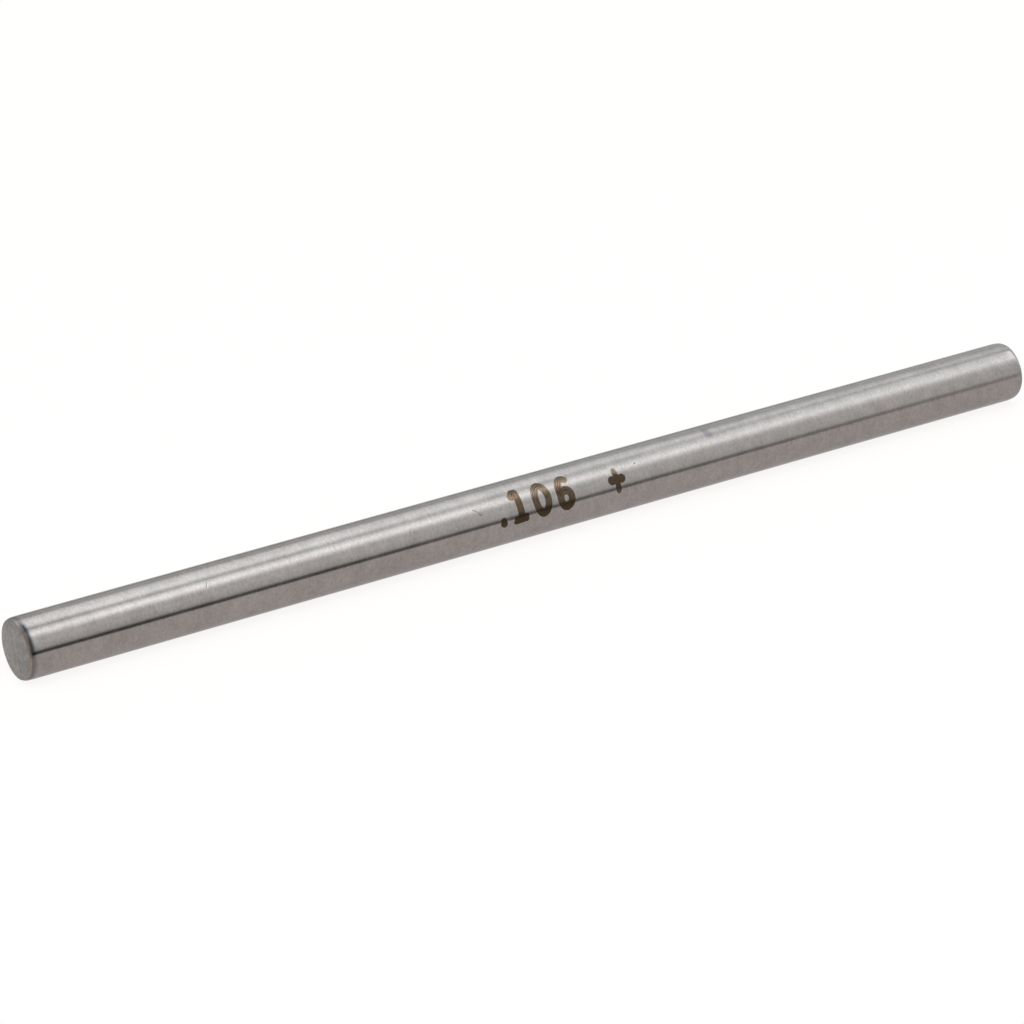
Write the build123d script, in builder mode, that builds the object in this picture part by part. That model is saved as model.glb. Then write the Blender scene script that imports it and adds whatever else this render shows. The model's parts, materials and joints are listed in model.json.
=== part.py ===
from build123d import *

import os

# A plus pin gauge: one hardened steel pin, ground and lapped round, with flat ends and broken edges.
# The origin is the centre of the pin, on its axis. +X runs along the pin, and +Z is up as it lies on a bench.
# Sizes are in millimetres.

INCH = 25.4

# The size that the pin is marked with, and the band above it that a plus pin is lapped into.
marked_size = 0.106 * INCH
plus_tolerance = 0.0002 * INCH
pin_length = 2.0 * INCH

# A plus pin is modelled in the middle of its band.
pin_diameter = marked_size + plus_tolerance / 2

# Each end is ground square, and its rim is broken by a steep cone.
edge_break_along = 0.15
edge_break_deep = 0.07

# Lapping rolls over the corner between the cone and the wall.
rim_round = 0.2


def make_gauge_pin():
    """The whole gauge, turned from half of its section, which is drawn from the left end to the right."""
    wall_radius = pin_diameter / 2
    face_radius = wall_radius - edge_break_deep
    end = pin_length / 2
    with BuildPart() as pin:
        with BuildSketch(Plane.XY):
            with BuildLine():
                Polyline(
                    (-end, 0),
                    (-end, face_radius),
                    (-end + edge_break_along, wall_radius),
                    (end - edge_break_along, wall_radius),
                    (end, face_radius),
                    (end, 0),
                    close=True,
                )
            make_face()
        revolve(axis=Axis.X)
        wall = pin.faces().filter_by(GeomType.CYLINDER)
        rims = wall.edges().filter_by(GeomType.CIRCLE)
        fillet(rims, rim_round)
    pin.part.label = "gauge_pin"
    return pin


os.makedirs("parts", exist_ok=True)
gauge_pin = make_gauge_pin()
export_step(gauge_pin.part, "parts/gauge_pin.step")
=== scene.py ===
import json
import math

import bpy
import numpy as np
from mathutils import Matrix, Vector


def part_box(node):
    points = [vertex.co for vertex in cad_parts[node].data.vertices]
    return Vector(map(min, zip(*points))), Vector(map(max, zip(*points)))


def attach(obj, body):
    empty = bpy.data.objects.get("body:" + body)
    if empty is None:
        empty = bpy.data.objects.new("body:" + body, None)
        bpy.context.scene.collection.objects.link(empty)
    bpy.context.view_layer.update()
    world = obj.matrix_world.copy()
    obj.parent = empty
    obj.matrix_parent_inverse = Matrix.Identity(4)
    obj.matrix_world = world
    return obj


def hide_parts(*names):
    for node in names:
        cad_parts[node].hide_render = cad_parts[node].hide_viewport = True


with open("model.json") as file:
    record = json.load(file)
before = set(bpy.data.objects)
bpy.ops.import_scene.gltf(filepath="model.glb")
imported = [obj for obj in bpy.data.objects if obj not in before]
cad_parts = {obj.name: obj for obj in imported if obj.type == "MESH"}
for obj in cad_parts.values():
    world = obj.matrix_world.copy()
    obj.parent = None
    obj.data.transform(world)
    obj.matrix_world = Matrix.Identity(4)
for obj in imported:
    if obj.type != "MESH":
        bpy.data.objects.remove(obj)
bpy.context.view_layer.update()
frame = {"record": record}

# Lengths in this script are metres, unless a name ends in _MM or a comment says otherwise.
MM = 0.001

# The pin, from the frame. Its axis is X, through the origin, and it lies with its lowest line on the floor.
pin_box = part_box("gauge_pin")
END = pin_box[1].x
gauging = next(m for m in frame["record"]["mounts"] if m["name"] == "gauging_diameter")
RADIUS = gauging["dims"]["r_mm"] * MM
FLOOR = -RADIUS


# Meshes and nodes


def new_object(name, data):
    """Links a mesh, a lamp or a camera to the scene as an object at the origin."""
    made = bpy.data.objects.new(name, data)
    bpy.context.scene.collection.objects.link(made)
    return made


def new_material(name):
    """A material with an empty node tree, and its output node."""
    material = bpy.data.materials.new(name)
    material.use_nodes = True
    material.node_tree.nodes.clear()
    return material, material.node_tree, material.node_tree.nodes.new("ShaderNodeOutputMaterial")


def add_node(tree, kind, inputs=(), **settings):
    """Adds a node, sets its properties, and then sets or links the inputs that are given as a dictionary."""
    node = tree.nodes.new(kind)
    for key, value in settings.items():
        setattr(node, key, value)
    for key, value in dict(inputs).items():
        socket = node.inputs[key]
        if isinstance(value, bpy.types.NodeSocket):
            tree.links.new(value, socket)
        else:
            socket.default_value = value
    return node


def maths(tree, operation, *values, clamp=False):
    """A Math node's output, from numbers or sockets."""
    inputs = dict(enumerate(values))
    return add_node(tree, "ShaderNodeMath", inputs, operation=operation, use_clamp=clamp).outputs[0]


def product(tree, *values):
    """All the values multiplied together."""
    total = values[0]
    for value in values[1:]:
        total = maths(tree, "MULTIPLY", total, value)
    return total


def remap(tree, value, low, high, to_low=0.0, to_high=1.0):
    """A clamped Map Range node's output."""
    inputs = {"Value": value, "From Min": low, "From Max": high, "To Min": to_low, "To Max": to_high}
    return add_node(tree, "ShaderNodeMapRange", inputs).outputs["Result"]


def vector_maths(tree, operation, inputs, output="Vector"):
    """A Vector Math node's output, from a dictionary of its inputs."""
    return add_node(tree, "ShaderNodeVectorMath", inputs, operation=operation).outputs[output]


def blend_colours(tree, factor, first, second, mode="MIX"):
    """A colour Mix node's output."""
    node = add_node(tree, "ShaderNodeMix", data_type="RGBA", blend_type=mode)
    for index, value in ((0, factor), (6, first), (7, second)):
        if isinstance(value, bpy.types.NodeSocket):
            tree.links.new(value, node.inputs[index])
        else:
            node.inputs[index].default_value = value
    return node.outputs[2]


def times(tree, first, second):
    """Two colours multiplied."""
    return blend_colours(tree, 1.0, first, second, mode="MULTIPLY")


def colour_ramp(tree, value, stops):
    """A Color Ramp over stops of (place from 0 to 1, (r, g, b))."""
    node = add_node(tree, "ShaderNodeValToRGB", {"Fac": value})
    elements = node.color_ramp.elements
    while len(elements) < len(stops):
        elements.new(0.5)
    for element, (place, colour) in zip(elements, stops):
        element.position = place
        element.color = (*colour, 1)
    return node.outputs["Color"]


def noise(tree, vector, scale, detail=2.0, roughness=0.5):
    """A Noise Texture's value, which lies about 0.5."""
    inputs = {"Vector": vector, "Scale": scale, "Detail": detail, "Roughness": roughness}
    return add_node(tree, "ShaderNodeTexNoise", inputs).outputs[0]


def wall_noise(tree, position, scales, detail=2.0, roughness=0.5):
    """Noise with one scale along the pin and another across it."""
    along, across = scales
    stretched = vector_maths(tree, "MULTIPLY", {0: position, 1: (along, across, across)})
    return noise(tree, stretched, 1.0, detail, roughness)


def own_position(tree):
    """The place on the object in metres, as a vector and as its three parts, which are called X, Y and Z."""
    position = add_node(tree, "ShaderNodeTexCoord").outputs["Object"]
    return position, add_node(tree, "ShaderNodeSeparateXYZ", {0: position}).outputs


# The pin's form

# The edge break at each end: a steep cone with a rolled rim, as the solid has it.
EDGE_ALONG = 0.15 * MM
EDGE_DEEP = 0.07 * MM
FACE_RADIUS = RADIUS - EDGE_DEEP

# The corner between the end face and the cone, which is hardly rounded.
CORNER_ROUND = 0.012 * MM
CORNER_STEPS = 4

# The rolled rim between the cone and the wall, in steps: (lean in degrees where the step ends, its length).
# Lapping rolls it over tightly at first and then eases it into the wall.
RIM_STEPS_MM = [
    (20, 0.0175),
    (15, 0.0175),
    (10, 0.035),
    (7, 0.035),
    (5, 0.05),
    (3, 0.07),
    (2, 0.07),
    (1, 0.07),
    (0, 0.07),
]

# The rings on an end face, as shares of its radius, the rings along the wall, and the points on each ring.
FACE_RINGS = (0.0, 0.3, 0.6, 0.85)
WALL_RINGS = 60
ROUND_STEPS = 256

# The order of the pin's materials, and how far a facet's normal leans along the pin, at least, on an end face
# and on a broken edge.
WALL_SLOT, FACE_SLOT, EDGE_SLOT = 0, 1, 2
FACE_LEAN = 0.9
EDGE_LEAN = 0.2


def end_profile():
    """From the middle of an end face to the wall: (distance in from the face, radius, the normal's tilt)."""
    slope = math.atan2(EDGE_DEEP, EDGE_ALONG)
    upright = math.pi / 2
    points = [(0.0, share * FACE_RADIUS, upright) for share in FACE_RINGS]
    corner_tangent = CORNER_ROUND * math.tan((upright - slope) / 2)
    for step in range(CORNER_STEPS + 1):
        tilt = upright + (slope - upright) * step / CORNER_STEPS
        inward = CORNER_ROUND * (1 - math.sin(tilt))
        outward = FACE_RADIUS - corner_tangent + CORNER_ROUND * math.cos(tilt)
        points.append((inward, outward, tilt))
    lean, rim = slope, []
    for degrees, length_mm in RIM_STEPS_MM:
        middle = (lean + math.radians(degrees)) / 2
        lean = math.radians(degrees)
        rim.append((length_mm * MM * math.cos(middle), length_mm * MM * math.sin(middle), lean))
    outward = RADIUS - sum(rise for run, rise, lean in rim)
    inward = EDGE_ALONG * (outward - FACE_RADIUS) / EDGE_DEEP
    points.append((inward, outward, slope))
    for run, rise, lean in rim:
        inward, outward = inward + run, outward + rise
        points.append((inward, outward, lean))
    return points


def pin_profile():
    """The pin's rings from left to right: (x, radius, the normal's part along the pin, its part outward)."""
    left = []
    for inward, radius, tilt in end_profile():
        left.append((-END + inward, radius, -math.sin(tilt), math.cos(tilt)))
    right = [(-x, radius, -along, outward) for x, radius, along, outward in reversed(left)]
    start, stop = left[-1][0], right[0][0]
    wall = [(start + (stop - start) * k / WALL_RINGS, RADIUS, 0.0, 1.0) for k in range(1, WALL_RINGS)]
    return left[1:] + wall + right[:-1]


def turned_faces(ring_count):
    """The faces of a turned mesh, wound outwards: a fan at each end, and squares between its rings."""
    sides = [(i, (i + 1) % ROUND_STEPS) for i in range(ROUND_STEPS)]
    faces = [(0, 1 + i, 1 + j) for i, j in sides]
    for ring in range(ring_count - 1):
        near = 1 + ring * ROUND_STEPS
        far = near + ROUND_STEPS
        faces += [(near + i, far + i, far + j, near + j) for i, j in sides]
    last = 1 + (ring_count - 1) * ROUND_STEPS
    return faces + [(last + i, last + ROUND_STEPS, last + j) for i, j in sides]


def slot_by_lean(lean):
    """The material slot of a facet, by how far its normal leans along the pin."""
    if lean > FACE_LEAN:
        return FACE_SLOT
    return EDGE_SLOT if lean > EDGE_LEAN else WALL_SLOT


def make_pin():
    """The pin's skin, turned finely about X, with exact normals so that the wall reflects cleanly."""
    profile = pin_profile()
    turn = np.linspace(0, 2 * math.pi, ROUND_STEPS, endpoint=False)
    spokes = np.stack([np.zeros(ROUND_STEPS), -np.cos(turn), np.sin(turn)], 1)
    points, normals = [(-END, 0.0, 0.0)], [(-1.0, 0.0, 0.0)]
    for x, radius, along, outward in profile:
        points.extend(map(tuple, np.array([x, 0, 0]) + radius * spokes))
        normals.extend(map(tuple, np.array([along, 0, 0]) + outward * spokes))
    points.append((END, 0.0, 0.0))
    normals.append((1.0, 0.0, 0.0))
    mesh = bpy.data.meshes.new("ground_pin")
    mesh.from_pydata(points, [], turned_faces(len(profile)))
    mesh.polygons.foreach_set("use_smooth", [True] * len(mesh.polygons))
    for polygon in mesh.polygons:
        polygon.material_index = slot_by_lean(abs(polygon.normal.x))
    mesh.normals_split_custom_set_from_vertices(normals)
    return new_object("ground_pin", mesh)


# The steel

# The steel's colour, as it shows where a plain white backdrop is mirrored in it. The end faces are ground and
# not lapped, and so a little paler and greyer.
STEEL = (0.262, 0.233, 0.225)
FACE_STEEL = (0.288, 0.272, 0.260)

# How much of the mirror's rise towards grazing is left. Hard steel hardly brightens there.
EDGE_TINT = (0.75, 0.75, 0.75, 1)

# How often the wall's markings repeat in a metre, along the pin and across it: the fine lines that lapping
# leaves round the pin, the grain, the cloudy mottle, and the drift between a warm and a cool tone.
LINE_SCALES = (8000, 2600)
GRAIN_SCALES = (10000, 8000)
CLOUD_SCALES = (1500, 1100)
DRIFT_SCALES = (2600, 2600)
WARM_DRIFT = (1.012, 0.994, 0.994, 1)
COOL_DRIFT = (0.986, 1.006, 1.006, 1)

# The same for the end faces' blotches, grain and mottle, for the scale in their rims, and for the broken
# edges.
BLOTCH_SCALE = 4200
FACE_GRAIN_SCALE = 15000
MOTTLE_SCALE = 2000
RIM_PATCH_SCALE = 2600
EDGE_SCALE = 6000

# How high the lines and the grain stand on the wall, and the blotches on the end faces.
WALL_RELIEF = 0.0003 * MM
FACE_RELIEF = 0.006 * MM

# The tone of the left end's broken edge, low and high on it.
EDGE_LOW = (0.96, 0.95, 0.92, 1)
EDGE_HIGH = (0.90, 0.99, 1.10, 1)

# What the left end's rolled rim is multiplied by, by the distance in from the face in millimetres: straw and
# brown, then nearly black, then blue. The straw, brown and blue are tints that heat and handling left; the
# near-black band between them is partly painted shade.
RIM_REACH_MM = 0.40
RIM_TINTS_AND_PAINTED_SHADE = [
    (0.00, (1.00, 0.97, 0.92)),
    (0.05, (1.00, 0.90, 0.76)),
    (0.09, (0.40, 0.34, 0.28)),
    (0.13, (0.19, 0.17, 0.155)),
    (0.18, (0.145, 0.145, 0.145)),
    (0.22, (0.28, 0.30, 0.34)),
    (0.27, (0.62, 0.68, 0.79)),
    (0.34, (1.00, 1.00, 1.00)),
]

# Faint smudges on the wall, and one painted shade: (start, stop, half width, what the steel's colour is
# multiplied by). The places are (along the pin, arc up from the front), in millimetres.
SMUDGE_AND_SHADE_SOFT_MM = 0.1
SMUDGES_AND_PAINTED_SHADE = [
    # Painted shade: the bright band on the wall dims towards the left end.
    ((-25.3, 1.35), (-22.6, 1.35), 0.30, (0.91, 0.91, 0.91, 1)),
    ((8.43, 1.62), (8.46, 1.88), 0.17, (0.72, 0.73, 0.80, 1)),
    ((5.20, 2.02), (11.0, 2.00), 0.06, (0.80, 0.80, 0.81, 1)),
    ((3.55, 1.58), (4.25, 1.60), 0.08, (0.93, 0.93, 0.97, 1)),
]

# Small scars on the wall, in the same form, with the colour that the steel has there.
SCAR_SOFT_MM = 0.012
SCARS = [
    ((-16.89, 1.27), (-17.00, 1.08), 0.012, (0.36, 0.34, 0.33, 1)),
    ((-16.92, 1.28), (-17.05, 1.09), 0.017, (0.12, 0.065, 0.045, 1)),
    ((-4.04, 1.17), (-3.92, 1.08), 0.024, (0.11, 0.105, 0.10, 1)),
    ((-3.92, 1.08), (-3.80, 0.92), 0.016, (0.13, 0.125, 0.12, 1)),
    ((-3.80, 0.90), (-3.73, 0.84), 0.022, (0.12, 0.115, 0.11, 1)),
    ((14.48, 1.37), (14.49, 1.34), 0.022, (0.16, 0.15, 0.15, 1)),
    ((12.36, 0.28), (12.37, 0.13), 0.012, (0.17, 0.155, 0.15, 1)),
    ((4.30, 1.24), (4.31, 1.24), 0.03, (0.05, 0.05, 0.05, 1)),
    ((-3.12, 1.05), (-3.10, 1.02), 0.014, (0.16, 0.15, 0.14, 1)),
]

# Two round stains low on the left end face: (place, radius in millimetres, colour).
STAIN_SOFT_MM = 0.06
FACE_STAINS = [
    ((-END, -0.26 * MM, -0.42 * MM), 0.10, (0.235, 0.180, 0.180, 1)),
    ((-END, -0.38 * MM, -0.80 * MM), 0.07, (0.150, 0.140, 0.135, 1)),
]

# The scale left in the rim of an end face: its colour, and how far in from the edge it starts and is full.
SCALE_BROWN = (0.21, 0.152, 0.095, 1)
SCALE_START = 0.06 * MM
SCALE_FULL = 0.01 * MM


def on_wall(along_mm, arc_mm):
    """A place on the wall, in metres, from its place along the pin and the arc up from the front."""
    angle = arc_mm * MM / RADIUS
    return (along_mm * MM, -RADIUS * math.cos(angle), RADIUS * math.sin(angle))


def line_mask(tree, position, start, stop, half_width_mm, soft_mm):
    """1 on the straight line between two places, falling to 0 past its half width."""
    start, run = Vector(start), Vector(stop) - Vector(start)
    away = vector_maths(tree, "SUBTRACT", {0: position, 1: start})
    along = vector_maths(tree, "DOT_PRODUCT", {0: away, 1: run}, "Value")
    share = maths(tree, "DIVIDE", along, max(run.length_squared, 1e-12), clamp=True)
    foot = vector_maths(tree, "SCALE", {0: run, "Scale": share})
    gap = vector_maths(tree, "DISTANCE", {0: away, 1: foot}, "Value")
    return remap(tree, gap, (half_width_mm - soft_mm) * MM, (half_width_mm + soft_mm) * MM, 1.0, 0.0)


def shaded(tree, colour, shade):
    """A fixed colour times a shade that varies."""
    return vector_maths(tree, "SCALE", {0: colour, "Scale": shade})


def rim_tint_and_painted_shade(tree, axes):
    """What the steel's colour is multiplied by on the left end's rim: its tints, and painted shade that is
    strongest high on the front and eased low down, on top and behind.
    """
    reach = remap(tree, axes["X"], -END, -END + RIM_REACH_MM * MM)
    shades = colour_ramp(tree, reach, [(place / RIM_REACH_MM, shade) for place, shade in RIM_TINTS_AND_PAINTED_SHADE])
    # Painted shade: how strongly the rim darkens depends on which way it faces.
    rising = remap(tree, axes["Z"], 0.05 * RADIUS, 0.40 * RADIUS, 0.5, 1.0)
    easing = remap(tree, axes["Z"], 0.93 * RADIUS, 0.9995 * RADIUS, 1.0, 0.3)
    behind = remap(tree, axes["Y"], 0.0, 0.6 * RADIUS, 1.0, 0.4)
    return blend_colours(tree, product(tree, rising, easing, behind), (1, 1, 1, 1), shades)


def steel_shader(tree, output, inputs):
    """A bare metal shader with the inputs that are given, joined to the material's output."""
    inputs = {"Metallic": 1.0, "Specular Tint": EDGE_TINT, **inputs}
    shader = add_node(tree, "ShaderNodeBsdfPrincipled", inputs)
    tree.links.new(shader.outputs[0], output.inputs["Surface"])


def bump(tree, height, relief):
    """A Bump node's normal, for a height from 0 to 1 that stands the relief's distance."""
    inputs = {"Strength": 1.0, "Distance": relief, "Height": height}
    return add_node(tree, "ShaderNodeBump", inputs).outputs[0]


def wall_colour(tree, position, axes, lines, grain, clouds):
    """The wall's steel: marks and mottle, then smudges, one painted shade and scars, and at the left end the
    rim's tints and painted shade.
    """
    line_tone = remap(tree, lines, 0.25, 0.75, -0.06, 0.06)
    grain_tone = remap(tree, grain, 0.25, 0.75, -0.12, 0.12)
    cloud_tone = remap(tree, clouds, 0.25, 0.75, 0.89, 1.11)
    tone = maths(tree, "ADD", maths(tree, "ADD", line_tone, grain_tone), cloud_tone)
    drift = remap(tree, wall_noise(tree, position, DRIFT_SCALES, 3.0, 0.6), 0.35, 0.65)
    colour = times(tree, shaded(tree, STEEL, tone), blend_colours(tree, drift, WARM_DRIFT, COOL_DRIFT))
    for start, stop, half_width, shade in SMUDGES_AND_PAINTED_SHADE:
        mask = line_mask(tree, position, on_wall(*start), on_wall(*stop), half_width, SMUDGE_AND_SHADE_SOFT_MM)
        colour = blend_colours(tree, mask, colour, shade, mode="MULTIPLY")
    for start, stop, half_width, stain in SCARS:
        mask = line_mask(tree, position, on_wall(*start), on_wall(*stop), half_width, SCAR_SOFT_MM)
        colour = blend_colours(tree, mask, colour, stain)
    # At the left end, the rim's tints and painted shade.
    return times(tree, colour, rim_tint_and_painted_shade(tree, axes))


def lapped_steel():
    """The wall: lapped round, so its finest marks run round the pin and a reflection blurs along it."""
    material, tree, output = new_material("lapped_steel")
    position, axes = own_position(tree)
    lines = wall_noise(tree, position, LINE_SCALES)
    grain = wall_noise(tree, position, GRAIN_SCALES, roughness=0.6)
    clouds = wall_noise(tree, position, CLOUD_SCALES, 3.0, 0.6)
    height = maths(tree, "ADD", product(tree, lines, 0.6), product(tree, grain, 0.4))
    inputs = {
        "Base Color": wall_colour(tree, position, axes, lines, grain, clouds),
        "Roughness": remap(tree, clouds, 0.3, 0.7, 0.155, 0.185),
        "Anisotropic": 0.6,
        "Anisotropic Rotation": 0.25,
        "Normal": bump(tree, height, WALL_RELIEF),
        "Tangent": add_node(tree, "ShaderNodeTangent", direction_type="RADIAL", axis="X").outputs[0],
    }
    steel_shader(tree, output, inputs)
    return material


def rim_scale(tree, position, axes):
    """1 where brown scale is left in the rim of an end face. Most of it is in front, near the middle."""
    across = add_node(tree, "ShaderNodeCombineXYZ", {"Y": axes["Y"], "Z": axes["Z"]}).outputs[0]
    from_axis = vector_maths(tree, "LENGTH", {0: across}, "Value")
    rim = remap(tree, from_axis, FACE_RADIUS - SCALE_START, FACE_RADIUS - SCALE_FULL)
    patches = remap(tree, noise(tree, position, RIM_PATCH_SCALE), 0.4, 0.6, 0.6, 1.0)
    front = remap(tree, axes["Y"], -0.6 * RADIUS, 0.6 * RADIUS, 1.0, 0.35)
    off_middle = maths(tree, "ABSOLUTE", maths(tree, "SUBTRACT", axes["Z"], 0.3 * RADIUS))
    near_middle = remap(tree, off_middle, 0.35 * RADIUS, 0.65 * RADIUS, 1.0, 0.12)
    return product(tree, rim, patches, front, near_middle)


def ground_end():
    """The end faces: flat ground, matt and mottled, with painted shade towards the top and the front, and a
    thin brown line of scale left in the rim.
    """
    material, tree, output = new_material("ground_end")
    position, axes = own_position(tree)
    blotches = noise(tree, position, BLOTCH_SCALE, 4.0, 0.7)
    blotch_tone = remap(tree, blotches, 0.3, 0.7, 0.72, 1.2)
    grain_tone = remap(tree, noise(tree, position, FACE_GRAIN_SCALE, 3.0, 0.6), 0.3, 0.7, -0.15, 0.15)
    mottle = remap(tree, noise(tree, position, MOTTLE_SCALE), 0.3, 0.7, 0.93, 1.07)
    # Painted shade: the face is darker towards its top and its front, and lighter behind.
    painted_shade_top = remap(tree, axes["Z"], 0.5 * RADIUS, RADIUS, 1.0, 0.86)
    painted_shade_front = remap(tree, axes["Y"], -RADIUS, RADIUS, 0.84, 1.10)
    tone = product(tree, maths(tree, "ADD", blotch_tone, grain_tone), mottle, painted_shade_top, painted_shade_front)
    colour = shaded(tree, FACE_STEEL, tone)
    for place, radius, stain in FACE_STAINS:
        mask = line_mask(tree, position, place, place, radius, STAIN_SOFT_MM)
        colour = blend_colours(tree, mask, colour, stain)
    inputs = {
        "Base Color": blend_colours(tree, rim_scale(tree, position, axes), colour, SCALE_BROWN),
        "Roughness": 0.5,
        "Normal": bump(tree, blotches, FACE_RELIEF),
    }
    steel_shader(tree, output, inputs)
    return material


def edge_break():
    """The broken edges: plain steel at the right end, and warmer below and cooler on top at the left one."""
    material, tree, output = new_material("edge_break")
    position, axes = own_position(tree)
    tone = remap(tree, noise(tree, position, EDGE_SCALE, 3.0, 0.6), 0.3, 0.7, 0.82, 1.08)
    high = remap(tree, axes["Z"], 0.60 * RADIUS, 0.85 * RADIUS)
    left = blend_colours(tree, high, EDGE_LOW, EDGE_HIGH)
    ends = blend_colours(tree, remap(tree, axes["X"], -MM, MM), left, (1, 1, 1, 1))
    # The left rim's tints and painted shade reach onto the broken edge.
    colour = times(tree, shaded(tree, STEEL, tone), times(tree, ends, rim_tint_and_painted_shade(tree, axes)))
    steel_shader(tree, output, {"Base Color": colour, "Roughness": 0.3})
    return material


# The size mark

# Its strokes are drawn on the unrolled wall, in millimetres. The first number of a point is its place along
# the pin, and the second is the arc round it, from the level of the axis on the front up. These are the foot
# and the height of its figures, and the width of a stroke.
GLYPH_BASE_MM = 0.03
GLYPH_HEIGHT_MM = 1.6
STROKE_MM = 0.34

# The laser's passes run along each stroke at this pitch, and leave low ridges in the oxide. The mark stands
# clear of the wall by its lift.
PASS_PITCH_MM = 0.085
PASS_HEIGHT_MM = 0.0008
MARK_LIFT_MM = 0.0015

# The mark's mesh starts as a grid of square cells, with this margin round the strokes.
MARK_CELL_MM = 0.014
MARK_MARGIN_MM = 0.25

# The oxide's colours from foot to head, along the laser's passes and in the grooves between them. Their
# change
# with height is painted light: darker low down is painted shade, and the golden band high on the figures is a
# painted highlight.
PASS_COLOURS_AND_PAINTED_LIGHT = [
    (0.10, (0.064, 0.043, 0.026)),
    (0.22, (0.064, 0.046, 0.029)),
    (0.30, (0.092, 0.067, 0.044)),
    (0.45, (0.100, 0.071, 0.047)),
    (0.64, (0.100, 0.072, 0.051)),
    (0.77, (0.222, 0.156, 0.108)),
    (0.86, (0.160, 0.116, 0.083)),
    (1.00, (0.084, 0.067, 0.053)),
]
GROOVE_COLOURS_AND_PAINTED_LIGHT = [
    (0.10, (0.045, 0.029, 0.017)),
    (0.22, (0.045, 0.031, 0.019)),
    (0.30, (0.062, 0.044, 0.029)),
    (0.45, (0.060, 0.041, 0.027)),
    (0.64, (0.052, 0.036, 0.026)),
    (0.77, (0.068, 0.047, 0.033)),
    (0.86, (0.058, 0.041, 0.029)),
    (1.00, (0.042, 0.032, 0.024)),
]

# How often the wander of the oxide's tone along a stroke repeats in a metre, and its tarnish.
WANDER_SCALE = 1500
TARNISH_SCALE = 2300

# What the oxide's colour is multiplied by, by the noise of the tarnish.
TARNISH = [
    (0.32, (0.86, 0.90, 0.96)),
    (0.44, (1.00, 1.00, 1.00)),
    (0.58, (1.02, 1.00, 0.99)),
    (0.70, (1.14, 1.04, 0.96)),
]

# Tinges of other colours in the zero and the six, and darker and paler patches on the figures and the plus:
# (start, stop, half width, what the oxide's colour is multiplied by).
TINGE_SOFT_MM = 0.03
TINGES = [
    ((-0.24, 0.42), (-0.27, 1.02), 0.035, (0.95, 1.28, 0.85, 1)),
    ((-0.42, 1.10), (-0.40, 1.00), 0.035, (1.00, 1.16, 0.80, 1)),
    ((-0.41, 0.89), (-0.39, 0.84), 0.050, (0.45, 0.75, 0.95, 1)),
    ((0.72, 0.59), (0.74, 0.55), 0.040, (0.60, 0.85, 1.05, 1)),
    ((-1.82, 1.60), (-1.80, 1.25), 0.200, (0.78, 0.76, 0.78, 1)),
    ((0.20, 1.08), (0.23, 0.90), 0.150, (0.68, 0.66, 0.68, 1)),
    ((0.40, 0.97), (0.66, 0.95), 0.070, (0.78, 0.78, 0.78, 1)),
    ((2.90, 0.75), (3.43, 0.75), 0.250, (0.80, 0.80, 0.85, 1)),
    ((3.17, 0.33), (3.18, 0.22), 0.070, (2.30, 2.40, 2.80, 1)),
]


def arc_points(centre, half_width, half_height, start, stop, steps=48):
    """Points on an elliptic arc, by angles in degrees anticlockwise from the right."""
    angles = np.radians(np.linspace(start, stop, steps))
    return np.stack([centre[0] + half_width * np.cos(angles), centre[1] + half_height * np.sin(angles)], 1)


def ring(centre, outer, inner, steps=64):
    """A closed stroke between two ellipses, each given as (half its width, half its height)."""
    middle = (np.array(outer) + inner) / 2
    thick = (np.array(outer) - inner) / 2
    angles = np.radians(np.linspace(0, 360, steps))
    half = thick[0] * np.cos(angles) ** 2 + thick[1] * np.sin(angles) ** 2
    return arc_points(centre, *middle, 0, 360, steps), half


def mark_strokes():
    """Every stroke of the size mark as (points of its middle line, half its width at each point)."""
    half = STROKE_MM / 2
    low = GLYPH_BASE_MM + half
    high = GLYPH_BASE_MM + GLYPH_HEIGHT_MM - half
    middle = (low + high) / 2
    strokes = [
        # The point.
        (((-2.72, low + 0.01), (-2.72, 0.34)), (half, 0.145)),
        # The one: its flag, its stem, and its foot in two strokes.
        (((-2.06, 1.28), (-1.95, 1.42), (-1.82, high)), (0.185, 0.185, 0.155)),
        (((-1.82, high), (-1.80, 0.30)), (0.155, 0.165)),
        (((-2.13, 0.135), (-1.56, 0.155)), (0.105, 0.105)),
        (((-2.09, 0.26), (-1.56, 0.31)), (0.11, 0.12)),
        # The zero.
        ring((-0.67, middle - 0.01), (0.475, 0.80), (0.145, 0.425)),
        # The six: its hook, its back and its bowl.
        (arc_points((0.555, 0.93), 0.305, high - 0.93, 62, 180), half),
        (((0.25, 0.93), (0.25, 0.60)), half),
        ring((0.52, 0.57), (0.44, 0.545), (0.105, 0.155)),
        # The plus, which flares at its ends.
        (((2.925, 0.755), (3.17, 0.75), (3.405, 0.755)), (0.205, 0.165, 0.205)),
        (((3.145, 1.17), (3.17, 0.75), (3.185, 0.25)), (0.12, 0.145, 0.12)),
    ]
    return [(np.array(line, float), np.broadcast_to(width, len(line))) for line, width in strokes]


def stroke_depth(places, strokes):
    """How far inside the nearest stroke's outline each place lies, in millimetres. It is negative outside."""
    depth = np.full(len(places), -np.inf)
    for line, half in strokes:
        for start, stop, half_start, half_stop in zip(line[:-1], line[1:], half[:-1], half[1:]):
            run = stop - start
            share = np.clip((places - start) @ run / (run @ run), 0, 1)
            away = np.linalg.norm(places - start - share[:, None] * run, axis=1)
            depth = np.maximum(depth, half_start + share * (half_stop - half_start) - away)
    return depth


def pull_to_outline(places, depth, strokes):
    """Moves each place that lies within half a cell of the outline onto it, and sets its depth to nothing."""
    step = 0.2 * MARK_CELL_MM
    near = np.abs(depth) < 0.5 * MARK_CELL_MM
    for axis, offset in enumerate(((step, 0), (0, step))):
        slope = (stroke_depth(places[near] + offset, strokes) - depth[near]) / step
        places[near, axis] -= slope * depth[near]
    depth[near] = 0


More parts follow.
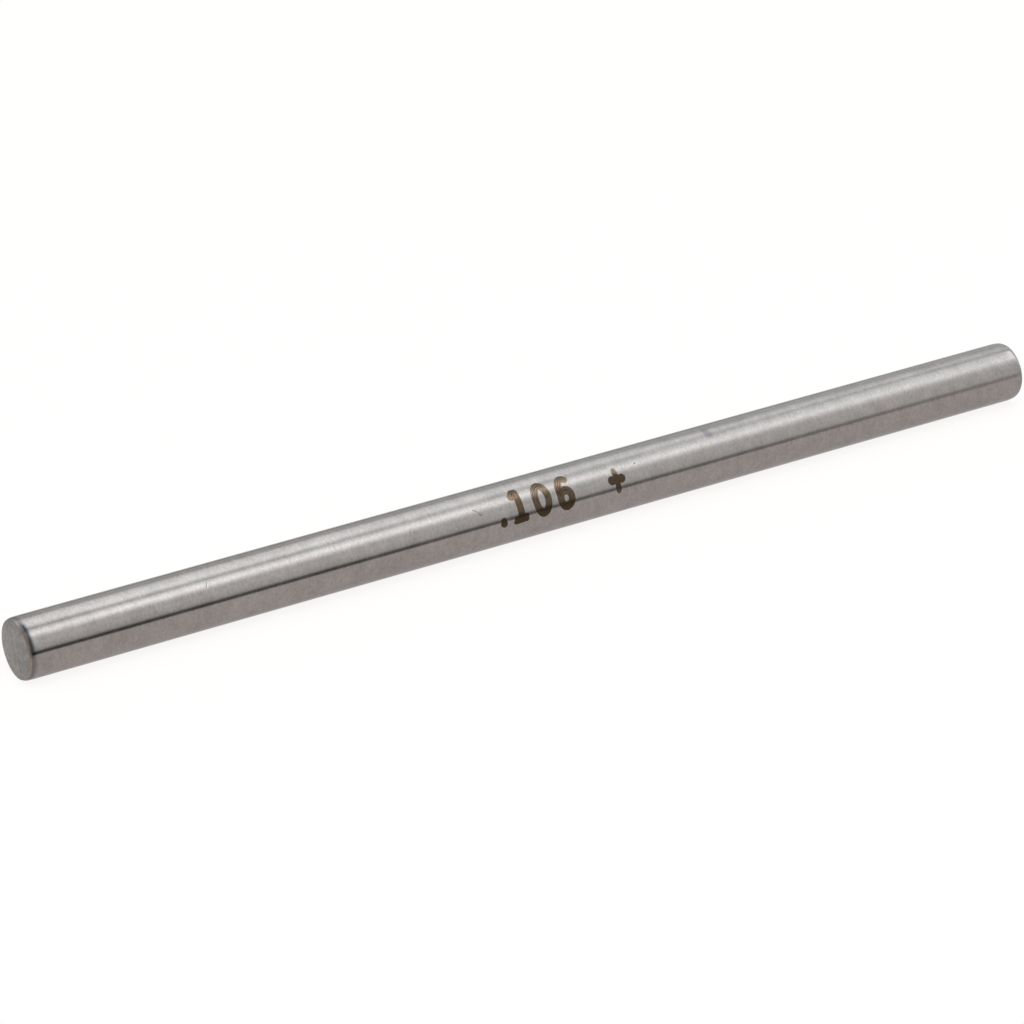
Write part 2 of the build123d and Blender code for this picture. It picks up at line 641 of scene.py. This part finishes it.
def make_mark():
    """The etched strokes, as a thin skin on the wall whose small ridges are the laser's passes."""
    strokes = mark_strokes()
    every = np.vstack([line for line, half in strokes])
    first, last = every.min(0) - MARK_MARGIN_MM, every.max(0) + MARK_MARGIN_MM
    along, up = (np.arange(first[axis], last[axis], MARK_CELL_MM) for axis in (0, 1))
    places = np.stack(np.meshgrid(along, up, indexing="ij"), 2).reshape(-1, 2)
    depth = stroke_depth(places, strokes)
    kept = (depth > -0.5 * MARK_CELL_MM).reshape(len(along), len(up))
    i, j = np.nonzero(kept[:-1, :-1] & kept[1:, :-1] & kept[1:, 1:] & kept[:-1, 1:])
    corner = i * len(up) + j
    faces = np.stack([corner, corner + len(up), corner + len(up) + 1, corner + 1], 1)
    used, faces = np.unique(faces.ravel(), return_inverse=True)
    places, depth = places[used], depth[used]
    pull_to_outline(places, depth, strokes)
    ridges = 0.5 * (1 - np.cos(2 * math.pi * depth / PASS_PITCH_MM))
    angle = places[:, 1] * MM / RADIUS
    radius = RADIUS + (MARK_LIFT_MM + PASS_HEIGHT_MM * ridges) * MM
    points = np.stack([places[:, 0] * MM, -radius * np.cos(angle), radius * np.sin(angle)], 1)
    mesh = bpy.data.meshes.new("size_mark")
    mesh.from_pydata(points.tolist(), [], faces.reshape(-1, 4).tolist())
    mesh.polygons.foreach_set("use_smooth", [True] * len(mesh.polygons))
    stored = mesh.attributes.new("stroke_depth", "FLOAT", "POINT")
    stored.data.foreach_set("value", depth.astype(np.float32))
    return new_object("size_mark", mesh)


def pass_strength(tree, axes, arc):
    """1 along the middle of a laser pass and 0 between two. The plus shows them less, but for its top."""
    depth = add_node(tree, "ShaderNodeAttribute", attribute_name="stroke_depth").outputs["Fac"]
    wave = maths(tree, "COSINE", product(tree, depth, 2 * math.pi / PASS_PITCH_MM))
    on_plus = remap(tree, axes["X"], 2.0 * MM, 2.2 * MM, 0.0, 0.65)
    on_arms = remap(tree, arc, 0.95, 1.05, 1.0, 0.0)
    shown = maths(tree, "SUBTRACT", 1.0, product(tree, on_plus, on_arms))
    return product(tree, remap(tree, wave, -1, 1, 1.0, 0.0), shown)


def etched_oxide_and_painted_light():
    """The mark's brown oxide, lighter along each pass, with painted shade towards the foot and a painted
    golden highlight near the head.
    """
    material, tree, output = new_material("etched_oxide_and_painted_light")
    position, axes = own_position(tree)
    turned = maths(tree, "ARCTAN2", axes["Z"], product(tree, axes["Y"], -1.0))
    arc = product(tree, turned, RADIUS / MM)
    wander = remap(tree, noise(tree, position, WANDER_SCALE), 0.3, 0.7, -0.12, 0.12)
    height = maths(tree, "DIVIDE", maths(tree, "ADD", arc, wander), GLYPH_HEIGHT_MM)
    # Painted light: by height, painted shade low on the figures and a painted highlight high on them.
    passes = colour_ramp(tree, height, PASS_COLOURS_AND_PAINTED_LIGHT)
    grooves = colour_ramp(tree, height, GROOVE_COLOURS_AND_PAINTED_LIGHT)
    browns_and_painted_light = blend_colours(tree, pass_strength(tree, axes, arc), grooves, passes)
    tarnish = colour_ramp(tree, noise(tree, position, TARNISH_SCALE, 2.0, 0.6), TARNISH)
    colour = times(tree, browns_and_painted_light, tarnish)
    for start, stop, half_width, tint in TINGES:
        mask = line_mask(tree, position, on_wall(*start), on_wall(*stop), half_width, TINGE_SOFT_MM)
        colour = blend_colours(tree, mask, colour, tint, mode="MULTIPLY")
    steel_shader(tree, output, {"Base Color": colour, "Roughness": 0.24})
    return material


# The studio

# The floor reaches far to both sides and behind the pin, but ends a little in front of it. That edge is what
# the thin dark line on the wall mirrors.
FLOOR_REACH = 500 * MM
FLOOR_FRONT = -18.3 * MM

# The floor's own matt colour, which lights the pin, and how much of what is seen of it is a plain glow.
FLOOR_MATT = (0.8, 0.79, 0.78, 1)
FLOOR_GLOW = (1.0, 0.99, 0.98, 1)
FLOOR_GLOW_LEVEL = 1.06
FLOOR_GLOW_SHARE = 0.84

# The grey of the light that the room sheds on all that is matt.
ROOM_GREY = (0.7, 0.7, 0.7, 1)

# The soft lamp's width, its power in watts, and its place.
LAMP_WIDTH = 250 * MM
LAMP_WATTS = 0.6
LAMP_PLACE = Vector((-50, -150, 350)) * MM

# The light of the room over the white backdrop's, by the angle round the pin's axis: 0 is the front horizon,
# 90 is overhead and 180 is the back. Two soft boxes hang overhead, with a thin gap between them, and a dark
# gap lies between the floor and the front wall. The first list is for the middle of the room, the second for
# the right.
ROOM_MIDDLE = [
    (0.0, 0.08),
    (4.0, 0.08),
    (8.0, 0.66),
    (12.0, 0.97),
    (18.0, 1.10),
    (26.0, 1.20),
    (34.0, 1.33),
    (46.0, 1.29),
    (53.5, 1.58),
    (61.5, 2.58),
    (69.5, 3.32),
    (77.5, 2.70),
    (85.5, 1.65),
    (90.5, 1.08),
    (97.5, 2.12),
    (105.5, 2.80),
    (121.5, 2.43),
    (137.5, 1.97),
    (145.5, 1.20),
    (153.5, 1.01),
    (172.0, 1.02),
    (176.0, 0.30),
    (180.0, 0.30),
]
ROOM_RIGHT = [
    (0.0, 0.40),
    (3.5, 0.40),
    (7.0, 0.98),
    (12.0, 1.16),
    (21.5, 1.16),
    (33.5, 1.20),
    (45.5, 1.24),
    (56.5, 1.48),
    (61.3, 1.94),
    (66.0, 2.34),
    (73.2, 2.28),
    (79.0, 2.20),
    (84.0, 2.02),
    (88.0, 1.36),
    (90.5, 1.04),
    (93.0, 1.16),
    (97.0, 1.26),
    (104.0, 1.45),
    (115.7, 1.62),
    (135.0, 1.41),
    (145.5, 1.25),
    (153.5, 1.18),
    (172.0, 1.14),
    (176.0, 0.40),
    (180.0, 0.40),
]

# The room's tint at six of these angles: as warm as the floor near the horizon, cooler overhead and behind.
TINT_ANGLES = (20.0, 50.0, 70.0, 95.0, 115.0, 150.0)
MIDDLE_TINTS = [
    (0.985, 1.030, 1.030),
    (0.985, 1.050, 1.055),
    (0.985, 1.055, 1.065),
    (0.985, 1.065, 1.075),
    (0.985, 1.075, 1.090),
    (0.985, 1.055, 1.060),
]
RIGHT_TINTS = [
    (0.985, 1.030, 1.030),
    (0.985, 1.050, 1.060),
    (0.985, 1.085, 1.115),
    (0.985, 1.085, 1.120),
    (0.985, 1.085, 1.125),
    (0.985, 1.065, 1.080),
]

# The gap between the soft boxes runs askew: further to the right it lies up to SKEW degrees further back. The
# shift fades out from the gap's angle to the two angles that are given with it.
SKEW = 26.0
SKEW_FROM, SKEW_GAP, SKEW_TO = 55.0, 90.5, 140.0

# A cool white, for the light of the studio's cards.
CARD_WHITE = (0.97, 1.02, 1.06, 1)

# The camera, at the photograph's viewing angle. The pin's middle lies a little off the picture's centre.
VIEW_AZIMUTH = math.radians(-32.4)
VIEW_ELEVATION = math.radians(26.43)
VIEW_DISTANCE = 195.27 * MM
PIN_RIGHT_OF_CENTRE = 1.265 * MM
PIN_ABOVE_CENTRE = 0.449 * MM
FOCAL_PIXELS = 4502.5
PICTURE_PIXELS = 1024
SENSOR_MM = 36


def mirrored_rays(tree):
    """1 for the rays that metal mirrors or glass bends."""
    rays = add_node(tree, "ShaderNodeLightPath").outputs
    return maths(tree, "MAXIMUM", rays["Is Glossy Ray"], rays["Is Transmission Ray"])


def seen_rays(tree):
    """1 for the rays that show the backdrop: the camera's own, and the mirrored ones."""
    rays = add_node(tree, "ShaderNodeLightPath").outputs
    return maths(tree, "MAXIMUM", rays["Is Camera Ray"], mirrored_rays(tree))


def make_floor():
    """A plain pale floor, which glows white where it is seen and keeps the pin's soft shadow."""
    material, tree, output = new_material("studio_floor")
    matt = add_node(tree, "ShaderNodeBsdfDiffuse", {"Color": FLOOR_MATT}).outputs[0]
    glow = add_node(tree, "ShaderNodeEmission", {"Color": FLOOR_GLOW, "Strength": FLOOR_GLOW_LEVEL})
    shares = {0: FLOOR_GLOW_SHARE, 1: matt, 2: glow.outputs[0]}
    glowing = add_node(tree, "ShaderNodeMixShader", shares).outputs[0]
    both = add_node(tree, "ShaderNodeMixShader", {0: seen_rays(tree), 1: matt, 2: glowing})
    tree.links.new(both.outputs[0], output.inputs["Surface"])
    corners = [
        (-FLOOR_REACH, FLOOR_FRONT, FLOOR),
        (FLOOR_REACH, FLOOR_FRONT, FLOOR),
        (FLOOR_REACH, FLOOR_REACH, FLOOR),
        (-FLOOR_REACH, FLOOR_REACH, FLOOR),
    ]
    mesh = bpy.data.meshes.new("studio_floor")
    mesh.from_pydata(corners, [], [(0, 1, 2, 3)])
    mesh.materials.append(material)
    floor = new_object("studio_floor", mesh)


def tinted_stops(stops, tints):
    """Colour ramp stops from (angle, level) pairs, with the room's tint at each angle."""
    made = []
    for angle, level in stops:
        tint = [np.interp(angle, TINT_ANGLES, channel) for channel in zip(*tints)]
        made.append((angle / 180, tuple(level * part for part in tint)))
    return made


def room_light(tree):
    """The room's light by direction, as the steel mirrors it."""
    direction = add_node(tree, "ShaderNodeTexCoord").outputs["Generated"]
    axes = add_node(tree, "ShaderNodeSeparateXYZ", {0: direction}).outputs
    turned = maths(tree, "ARCTAN2", axes["Z"], product(tree, axes["Y"], -1.0))
    angle = product(tree, turned, 180 / math.pi)
    shift = remap(tree, axes["X"], 0.43, 0.57, 0.0, SKEW)
    before_gap = maths(tree, "ADD", shift, SKEW_GAP - SKEW_FROM)
    past_gap = maths(tree, "SUBTRACT", SKEW_TO - SKEW_GAP, shift)
    rise = maths(tree, "DIVIDE", maths(tree, "SUBTRACT", angle, SKEW_FROM), before_gap, clamp=True)
    fall = maths(tree, "DIVIDE", maths(tree, "SUBTRACT", SKEW_TO, angle), past_gap, clamp=True)
    askew = product(tree, shift, maths(tree, "MINIMUM", rise, fall))
    place = maths(tree, "DIVIDE", maths(tree, "SUBTRACT", angle, askew), 180.0)
    middle = colour_ramp(tree, place, tinted_stops(ROOM_MIDDLE, MIDDLE_TINTS))
    right = colour_ramp(tree, place, tinted_stops(ROOM_RIGHT, RIGHT_TINTS))
    room = blend_colours(tree, remap(tree, axes["X"], 0.44, 0.56), middle, right)
    # At the far right something pale stands in the dark gap.
    veil = remap(tree, axes["X"], 0.525, 0.56, 0.0, 0.85)
    room = blend_colours(tree, 1.0, room, veil, mode="LIGHTEN")
    # Further below the horizon, the white sheet goes on in front of the floor.
    return blend_colours(tree, remap(tree, angle, -7.0, -6.0, 1.0, 0.0), room, (1, 1, 1, 1))


def make_world():
    """A white backdrop and soft light from all round, with the room's soft boxes for the steel to mirror."""
    world = bpy.data.worlds.new("studio")
    bpy.context.scene.world = world
    world.use_nodes = True
    tree = world.node_tree
    tree.nodes.clear()
    output = tree.nodes.new("ShaderNodeOutputWorld")
    backdrop = blend_colours(tree, seen_rays(tree), ROOM_GREY, (1, 1, 1, 1))
    room = blend_colours(tree, mirrored_rays(tree), (1, 1, 1, 1), room_light(tree))
    shader = add_node(tree, "ShaderNodeBackground", {"Color": times(tree, backdrop, room), "Strength": 1.0})
    tree.links.new(shader.outputs[0], output.inputs["Surface"])


def make_lamp():
    """One large soft lamp over the pin, which gives the floor its shadow. The steel mirrors the room."""
    light = bpy.data.lights.new("soft_key", "AREA")
    light.shape = "SQUARE"
    light.size = LAMP_WIDTH
    light.energy = LAMP_WATTS
    lamp = new_object("soft_key", light)
    lamp.location = LAMP_PLACE
    lamp.rotation_euler = (-LAMP_PLACE).to_track_quat("-Z", "Y").to_euler()
    lamp.visible_camera = False
    lamp.visible_glossy = False


def make_card(name, corners, faces, front, back):
    """A card of the studio, which only the steel mirrors. Its level runs between two pairs of (y, level)."""
    material, tree, output = new_material(name)
    axes = own_position(tree)[1]
    level = remap(tree, axes["Y"], front[0], back[0], front[1], back[1])
    glow = add_node(tree, "ShaderNodeEmission", {"Color": CARD_WHITE, "Strength": level})
    tree.links.new(glow.outputs[0], output.inputs["Surface"])
    mesh = bpy.data.meshes.new(name)
    mesh.from_pydata(corners, [], faces)
    mesh.materials.append(material)
    card = new_object(name, mesh)
    card.visible_camera = False
    card.visible_diffuse = False
    card.visible_shadow = False


def make_dark_flag():
    """A tall dark flag that bends over the front of the left end, for its broken edge to mirror."""
    left, right = -END - 60 * MM, -END - 11 * MM
    bends = [(-40 * MM, FLOOR + 0.5 * MM), (-30 * MM, 30 * MM), (-10 * MM, 43 * MM), (30 * MM, 41 * MM)]
    corners = [(x, y, z) for y, z in bends for x in (left, right)]
    faces = [(k, k + 1, k + 3, k + 2) for k in (0, 2, 4)]
    make_card("dark_flag", corners, faces, (-28 * MM, 0.68), (-10 * MM, 0.36))


def make_bright_card():
    """A small bright card over the right end, for the spot of light near its broken edge."""
    left, right = END + 0.97 * MM, END + 1.8 * MM
    front, back, height, level = -1.6 * MM, 0.15 * MM, 3.0 * MM, 3.1
    corners = [(left, front, height), (right, front, height), (right, back, height), (left, back, height)]
    make_card("bright_card", corners, [(0, 1, 2, 3)], (front, level), (back, level))


def make_camera():
    """The camera, where the photograph was taken from, with no roll and no lens shift."""
    back = Vector((
        math.sin(VIEW_AZIMUTH) * math.cos(VIEW_ELEVATION),
        -math.cos(VIEW_AZIMUTH) * math.cos(VIEW_ELEVATION),
        math.sin(VIEW_ELEVATION),
    ))
    turn = back.to_track_quat("Z", "Y")
    right, up = turn @ Vector((1, 0, 0)), turn @ Vector((0, 1, 0))
    data = bpy.data.cameras.new("camera")
    data.sensor_width = SENSOR_MM
    data.lens = SENSOR_MM * FOCAL_PIXELS / PICTURE_PIXELS
    data.clip_start, data.clip_end = 0.01, 100
    camera = new_object("camera", data)
    camera.location = back * VIEW_DISTANCE - right * PIN_RIGHT_OF_CENTRE - up * PIN_ABOVE_CENTRE
    camera.rotation_euler = turn.to_euler()
    bpy.context.scene.camera = camera


# The scene

pin = make_pin()
for material in (lapped_steel(), ground_end(), edge_break()):
    pin.data.materials.append(material)
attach(pin, "root")
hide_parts("gauge_pin")

mark = make_mark()
mark.data.materials.append(etched_oxide_and_painted_light())
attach(mark, "root")

make_floor()
make_world()
make_lamp()
make_dark_flag()
make_bright_card()
make_camera()
bpy.context.scene.view_settings.view_transform = "Standard"
